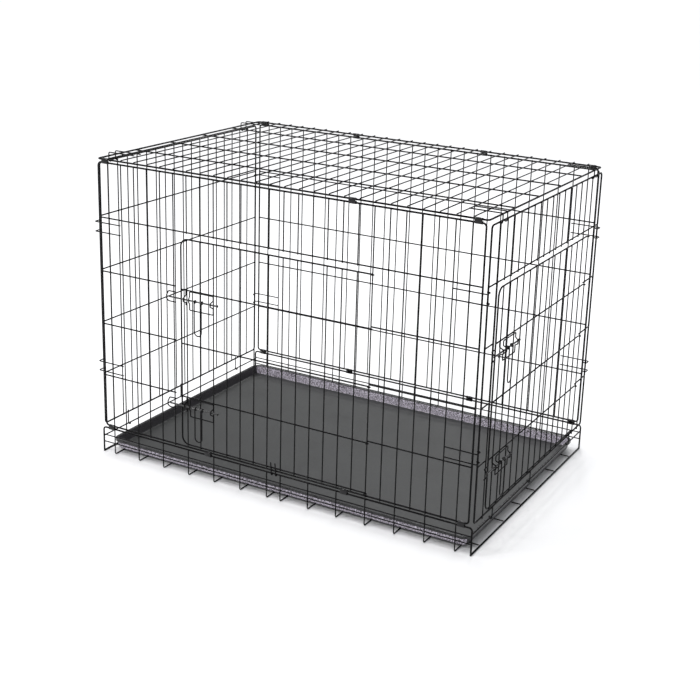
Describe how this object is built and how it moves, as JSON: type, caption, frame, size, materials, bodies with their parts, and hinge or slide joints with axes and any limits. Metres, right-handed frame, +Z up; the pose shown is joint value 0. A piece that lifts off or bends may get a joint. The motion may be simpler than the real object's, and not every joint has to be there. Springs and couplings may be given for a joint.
{
  "type": "wire dog crate",
  "caption": "Folding black wire crate with a barred door in its front and in one end, sliding bolts, and a plastic tray on a wire base.",
  "frame": {"origin": "on the floor under the middle of the base", "axes": "+X along the crate towards the end with a door, -Y towards the front long side with a door, +Z up"},
  "size_m": [1.0874, 0.7318, 0.793],
  "materials": {
    "black_wire": "gloss black coating over drawn steel wire",
    "clip_sheet": "gloss black coating over folded steel strip",
    "tray_plastic": "dark grey moulded plastic, satin floor and pebbled walls"
  },
  "bodies": {
    "base": {"base_back_feet": "black_wire", "base_back_rim": "black_wire", "base_end_runners": "black_wire", "base_floor_wires": "black_wire", "base_front_feet": "black_wire", "base_front_rim": "black_wire", "base_hinge_wires": "black_wire", "base_runners": "black_wire", "base_side_wires": "black_wire"},
    "tray": {"tray": "tray_plastic"},
    "front": {"front_bars": "black_wire", "front_bolt_keepers": "black_wire", "front_bottom_clips": "clip_sheet", "front_closing_hook": "black_wire", "front_corner_hooks": "black_wire", "front_frame": "black_wire", "front_rails": "black_wire", "front_top_clips": "clip_sheet"},
    "back": {"back_bars": "black_wire", "back_bottom_clips": "clip_sheet", "back_corner_hooks": "black_wire", "back_frame": "black_wire", "back_rails": "black_wire", "back_top_clips": "clip_sheet"},
    "top": {"top_bars": "black_wire", "top_end_hooks": "black_wire", "top_frame": "black_wire", "top_rails": "black_wire"},
    "left_end": {"left_end_bars": "black_wire", "left_end_frame": "black_wire", "left_end_hinge_hooks": "black_wire", "left_end_rails": "black_wire"},
    "right_end": {"right_end_bars": "black_wire", "right_end_bolt_keepers": "black_wire", "right_end_frame": "black_wire", "right_end_hinge_hooks": "black_wire", "right_end_rails": "black_wire"},
    "front_door": {"front_door_bars": "black_wire", "front_door_bolt_guides": "black_wire", "front_door_eyes": "black_wire", "front_door_frame": "black_wire", "front_door_latch_frames": "black_wire", "front_door_rails": "black_wire"},
    "right_door": {"right_door_bars": "black_wire", "right_door_bolt_guides": "black_wire", "right_door_eyes": "black_wire", "right_door_frame": "black_wire", "right_door_latch_frames": "black_wire", "right_door_rails": "black_wire"},
    "front_upper_bolt": {"front_upper_bolt": "black_wire"},
    "front_upper_handle": {"front_upper_handle": "black_wire"},
    "front_lower_bolt": {"front_lower_bolt": "black_wire"},
    "front_lower_handle": {"front_lower_handle": "black_wire"},
    "right_upper_bolt": {"right_upper_bolt": "black_wire"},
    "right_upper_handle": {"right_upper_handle": "black_wire"},
    "right_lower_bolt": {"right_lower_bolt": "black_wire"},
    "right_lower_handle": {"right_lower_handle": "black_wire"}
  },
  "joints": [
    {"name": "tray_slide", "type": "slide", "parent": "base", "child": "tray", "axis": [1, 0, 0], "range_m": [0, 1]},
    {"name": "front_fold", "type": "hinge", "parent": "base", "child": "front", "pos_m": [0, -0.354, 0.069], "axis": [-1, 0, 0], "range_deg": [0, 84], "deforming": ["front_corner_hooks", "back_corner_hooks", "top_end_hooks"]},
    {"name": "back_fold", "type": "hinge", "parent": "base", "child": "back", "pos_m": [0, 0.354, 0.069], "axis": [-1, 0, 0], "range_deg": [0, 84]},
    {"name": "top_fold", "type": "hinge", "parent": "front", "child": "top", "pos_m": [0, -0.354, 0.785], "axis": [1, 0, 0], "range_deg": [0, 84]},
    {"name": "left_end_fold", "type": "hinge", "parent": "base", "child": "left_end", "pos_m": [-0.533, 0, 0.044], "axis": [0, 1, 0], "range_deg": [0, 90], "deforming": ["front_corner_hooks", "back_corner_hooks", "top_end_hooks"]},
    {"name": "right_end_fold", "type": "hinge", "parent": "base", "child": "right_end", "pos_m": [0.533, 0, 0.053], "axis": [0, -1, 0], "range_deg": [0, 90], "deforming": ["front_corner_hooks", "back_corner_hooks", "top_end_hooks"]},
    {"name": "front_door_swing", "type": "hinge", "parent": "front", "child": "front_door", "pos_m": [0.25663, -0.35765, 0.352], "axis": [0, 0, -1], "range_deg": [-165, 0]},
    {"name": "right_door_swing", "type": "hinge", "parent": "right_end", "child": "right_door", "pos_m": [0.53665, 0.26989, 0.352], "axis": [0, 0, -1], "range_deg": [-165, 0]},
    {"name": "front_upper_bolt_slide", "type": "slide", "parent": "front_door", "child": "front_upper_bolt", "axis": [-1, 0, 0], "range_m": [-0.022, 0.01]},
    {"name": "front_upper_handle_swing", "type": "hinge", "parent": "front_upper_bolt", "child": "front_upper_handle", "pos_m": [-0.21687, -0.3644, 0.471], "axis": [1, 0, 0], "range_deg": [-110, 0]},
    {"name": "front_lower_bolt_slide", "type": "slide", "parent": "front_door", "child": "front_lower_bolt", "axis": [-1, 0, 0], "range_m": [-0.022, 0.01]},
    {"name": "front_lower_handle_swing", "type": "hinge", "parent": "front_lower_bolt", "child": "front_lower_handle", "pos_m": [-0.21687, -0.3644, 0.191], "axis": [1, 0, 0], "range_deg": [-110, 0]},
    {"name": "right_upper_bolt_slide", "type": "slide", "parent": "right_door", "child": "right_upper_bolt", "axis": [0, -1, 0], "range_m": [-0.022, 0.01]},
    {"name": "right_upper_handle_swing", "type": "hinge", "parent": "right_upper_bolt", "child": "right_upper_handle", "pos_m": [0.5434, -0.22812, 0.471], "axis": [0, 1, 0], "range_deg": [-110, 0]},
    {"name": "right_lower_bolt_slide", "type": "slide", "parent": "right_door", "child": "right_lower_bolt", "axis": [0, -1, 0], "range_m": [-0.022, 0.01]},
    {"name": "right_lower_handle_swing", "type": "hinge", "parent": "right_lower_bolt", "child": "right_lower_handle", "pos_m": [0.5434, -0.22812, 0.191], "axis": [0, 1, 0], "range_deg": [-110, 0]}
  ],
  "couplings": [
    {"joint": "back_fold", "follows": "front_fold", "ratio": 1},
    {"joint": "top_fold", "follows": "front_fold", "ratio": 1}
  ]
}
